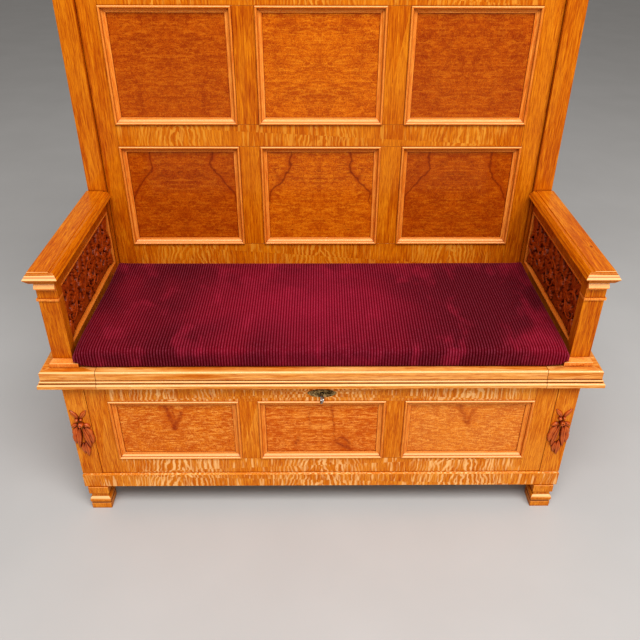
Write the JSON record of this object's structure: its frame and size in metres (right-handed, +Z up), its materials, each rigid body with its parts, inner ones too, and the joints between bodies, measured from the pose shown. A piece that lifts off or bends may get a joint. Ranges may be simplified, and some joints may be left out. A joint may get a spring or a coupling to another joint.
{
  "type": "hall bench with chest seat and coat hooks",
  "caption": "Panelled oak hall bench: hinged chest seat with lock and key, carved arms, tall frame-and-panel back under a cornice, a rail of double coat hooks and a ribbed velvet cushion.",
  "frame": {"origin": "on the floor, below the middle of the whole width and depth", "axes": "+Z up, -Y to the front where a sitter faces, +X to the right of a viewer standing in front"},
  "size_m": [1.36, 0.567, 1.74],
  "materials": {
    "oak_frame": "polished golden oak, fine grain along the length",
    "oak_rail": "polished golden oak with flame and ray figure",
    "oak_moulding": "polished golden oak mouldings",
    "figured_panel": "polished crotch and burl veneer",
    "carved_wood": "dark red-brown carved wood",
    "inner_wood": "plain unpolished softwood",
    "aged_brass": "aged brass, worn bright on the edges",
    "steel": "worn nickel-plated steel",
    "velvet": "wide-ribbed crimson corduroy velvet"
  },
  "bodies": {
    "root": {"front_feet": "oak_frame", "rear_feet": "oak_frame", "plinth_front": "oak_rail", "plinth_sides": "oak_rail", "plinth_rear": "inner_wood", "plinth_blocks": "inner_wood", "bottom_bearers": "inner_wood", "chest_bottom": "inner_wood", "front_pilaster_left": "oak_frame", "front_pilaster_right": "oak_frame", "leaf_drop_left": "carved_wood", "leaf_drop_right": "carved_wood", "front_rails": "oak_rail", "front_stiles": "oak_frame", "front_panels": "figured_panel", "front_mouldings": "oak_moulding", "side_rails": "oak_rail", "side_muntins": "oak_frame", "side_panels": "figured_panel", "side_mouldings": "oak_moulding", "rear_corner_posts": "oak_frame", "rear_rail": "inner_wood", "chest_back": "inner_wood", "seat_bearers": "inner_wood", "seat_end_left": "oak_rail", "seat_end_right": "oak_rail", "seat_rear_strip": "oak_rail", "hinge_fixed_leaves": "aged_brass", "hinge_pins": "aged_brass", "hinge_strip_screws": "steel", "lock_case": "steel", "escutcheon": "aged_brass", "post_dowels": "inner_wood", "arm_posts": "oak_frame", "arm_capitals": "oak_moulding", "arm_base_mouldings": "oak_moulding", "arm_rests": "oak_frame", "arm_frames": "oak_frame", "arm_panels": "carved_wood", "arm_carvings": "carved_wood", "arm_beads": "oak_moulding", "back_posts": "oak_frame", "back_stiles": "oak_frame", "back_rails": "oak_rail", "hook_rail": "oak_rail", "back_panels": "figured_panel", "back_mouldings": "oak_moulding", "cornice_mouldings": "oak_frame", "cornice_top": "oak_frame", "coat_hooks": "aged_brass", "hook_screws": "aged_brass"},
    "lid": {"lid_board": "oak_rail", "lid_front_moulding": "oak_rail", "lid_battens": "inner_wood", "hinge_lid_leaves": "aged_brass", "hinge_lid_screws": "steel", "strike_plate": "aged_brass", "seat_cushion": "velvet"},
    "key": {"key": "steel"},
    "lock_bolt": {"lock_bolt": "aged_brass"}
  },
  "joints": [
    {"name": "lid_hinge", "type": "hinge", "parent": "root", "child": "lid", "pos_m": [0, 0.1935, 0.451], "axis": [-1, 0, 0], "range_deg": [0, 90]},
    {"name": "key_turn", "type": "hinge", "parent": "root", "child": "key", "pos_m": [0, -0.2465, 0.379], "axis": [0, 1, 0], "range_deg": [0, 335]},
    {"name": "bolt_slide", "type": "slide", "parent": "root", "child": "lock_bolt", "axis": [0, 0, 1], "range_m": [0, 0.01]}
  ],
  "couplings": [
    {"joint": "bolt_slide", "follows": "key_turn", "m_per_rad": 0.0017}
  ]
}
